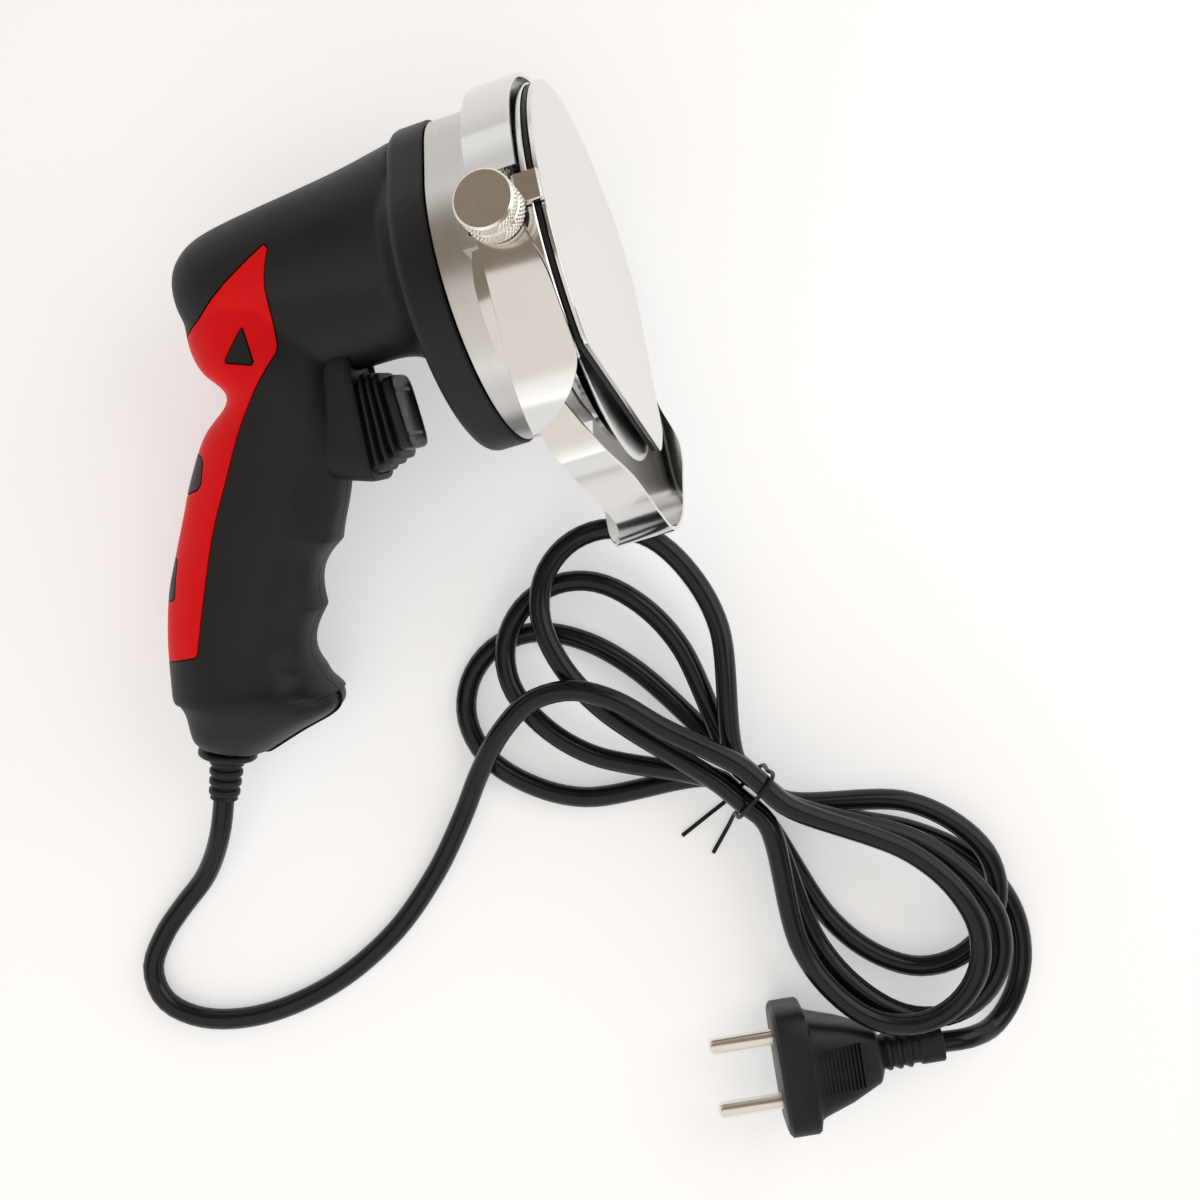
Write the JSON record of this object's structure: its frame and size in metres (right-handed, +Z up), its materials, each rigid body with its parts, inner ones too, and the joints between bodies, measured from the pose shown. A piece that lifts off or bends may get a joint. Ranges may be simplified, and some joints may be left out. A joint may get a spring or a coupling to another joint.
{
  "type": "electric kebab slicer",
  "caption": "Hand-held electric kebab slicer with a pistol grip, trigger, belt-driven round blade under a polished cover, adjustable slice guide and a tied mains cord.",
  "frame": {"origin": "centre of the underside of the tool's bounding box, on the table it lies on, without the cord", "axes": "+Z up from the table, as it lies on its left side; +X towards the blade cover, along the drive axes, which rise 12.65 degrees above the table; +Y towards the motor barrel, the top of the tool as it is held"},
  "size_m": [0.2606, 0.3034, 0.1183],
  "materials": {
    "shell_black": "fine matt texture",
    "grip_red": "satin",
    "rubber_black": "satin",
    "steel_satin": "brushed",
    "steel_mirror": "polished",
    "aluminium_cast": "satin",
    "nickel": "bright",
    "steel_dark": "satin",
    "brass": "satin",
    "copper": "enamelled",
    "board_green": "gloss",
    "switch_black": "gloss",
    "cord_black": "gloss"
  },
  "bodies": {
    "housing": {"right_shell": "shell_black", "left_shell": "shell_black", "trigger_frame": "shell_black", "motor_end_bell": "shell_black", "right_grip_panel": "grip_red", "left_grip_panel": "grip_red", "trigger_boot": "rubber_black", "timing_belt": "rubber_black", "cover_gasket": "rubber_black", "cord_strain_relief": "rubber_black", "shell_screw_1": "steel_satin", "shell_screw_2": "steel_satin", "shell_screw_3": "steel_satin", "shell_screw_4": "steel_satin", "trigger_spring": "steel_satin", "motor_front_bearing": "steel_satin", "motor_rear_bearing": "steel_satin", "motor_mount_plate": "steel_satin", "spindle_rear_bearing": "steel_satin", "spindle_front_bearing": "steel_satin", "housing_screw_1": "steel_satin", "housing_screw_2": "steel_satin", "housing_screw_3": "steel_satin", "housing_screw_4": "steel_satin", "cover_clip_right": "steel_satin", "cover_clip_left": "steel_satin", "cord_tie": "steel_satin", "front_cover": "steel_mirror", "head_housing": "aluminium_cast", "bearing_plate": "aluminium_cast", "blade_shroud": "aluminium_cast", "clamp_rail": "aluminium_cast", "plug_pin_1": "nickel", "plug_pin_2": "nickel", "motor_can": "steel_dark", "brush_1": "brass", "brush_2": "brass", "rectifier_board": "board_green", "switch_body": "switch_black", "plug_body": "switch_black", "cord_lead": "cord_black", "cord_hank": "cord_black"},
    "motor_rotor": {"motor_shaft": "steel_satin", "motor_armature": "steel_dark", "commutator": "copper", "motor_pulley": "aluminium_cast"},
    "blade_rotor": {"blade_spindle": "steel_satin", "blade_pulley": "aluminium_cast", "blade": "steel_mirror", "blade_nut": "steel_satin"},
    "trigger": {"trigger_cap": "shell_black", "trigger_plunger": "switch_black"},
    "guide": {"guide_band": "steel_mirror", "guide_petal": "steel_mirror", "clamp_nut": "steel_satin"},
    "knob": {"clamp_knob": "nickel", "clamp_screw": "steel_satin"}
  },
  "joints": [
    {"name": "motor_spin", "type": "hinge", "parent": "housing", "child": "motor_rotor", "pos_m": [0.02633, 0.0552, 0.05097], "axis": [0.9757, 0, 0.219], "continuous": true},
    {"name": "blade_spin", "type": "hinge", "parent": "housing", "child": "blade_rotor", "pos_m": [0.04644, 0.02874, 0.05268], "axis": [0.9757, 0, 0.219], "continuous": true},
    {"name": "trigger_press", "type": "slide", "parent": "housing", "child": "trigger", "axis": [-0.9757, 0, -0.219], "range_m": [0, 0.0035], "stiffness_N_per_m": 600, "springref_m": -0.006, "deforming": ["trigger_spring", "trigger_boot"]},
    {"name": "guide_slide", "type": "slide", "parent": "housing", "child": "guide", "axis": [0.9757, 0, 0.219], "range_m": [-0.006, 0]},
    {"name": "knob_turn", "type": "hinge", "parent": "guide", "child": "knob", "pos_m": [0.04553, 0.03821, 0.10697], "axis": [-0.2156, 0.1754, 0.9606], "range_deg": [0, 360]}
  ],
  "couplings": [
    {"joint": "blade_spin", "follows": "motor_spin", "ratio": 0.35897}
  ]
}
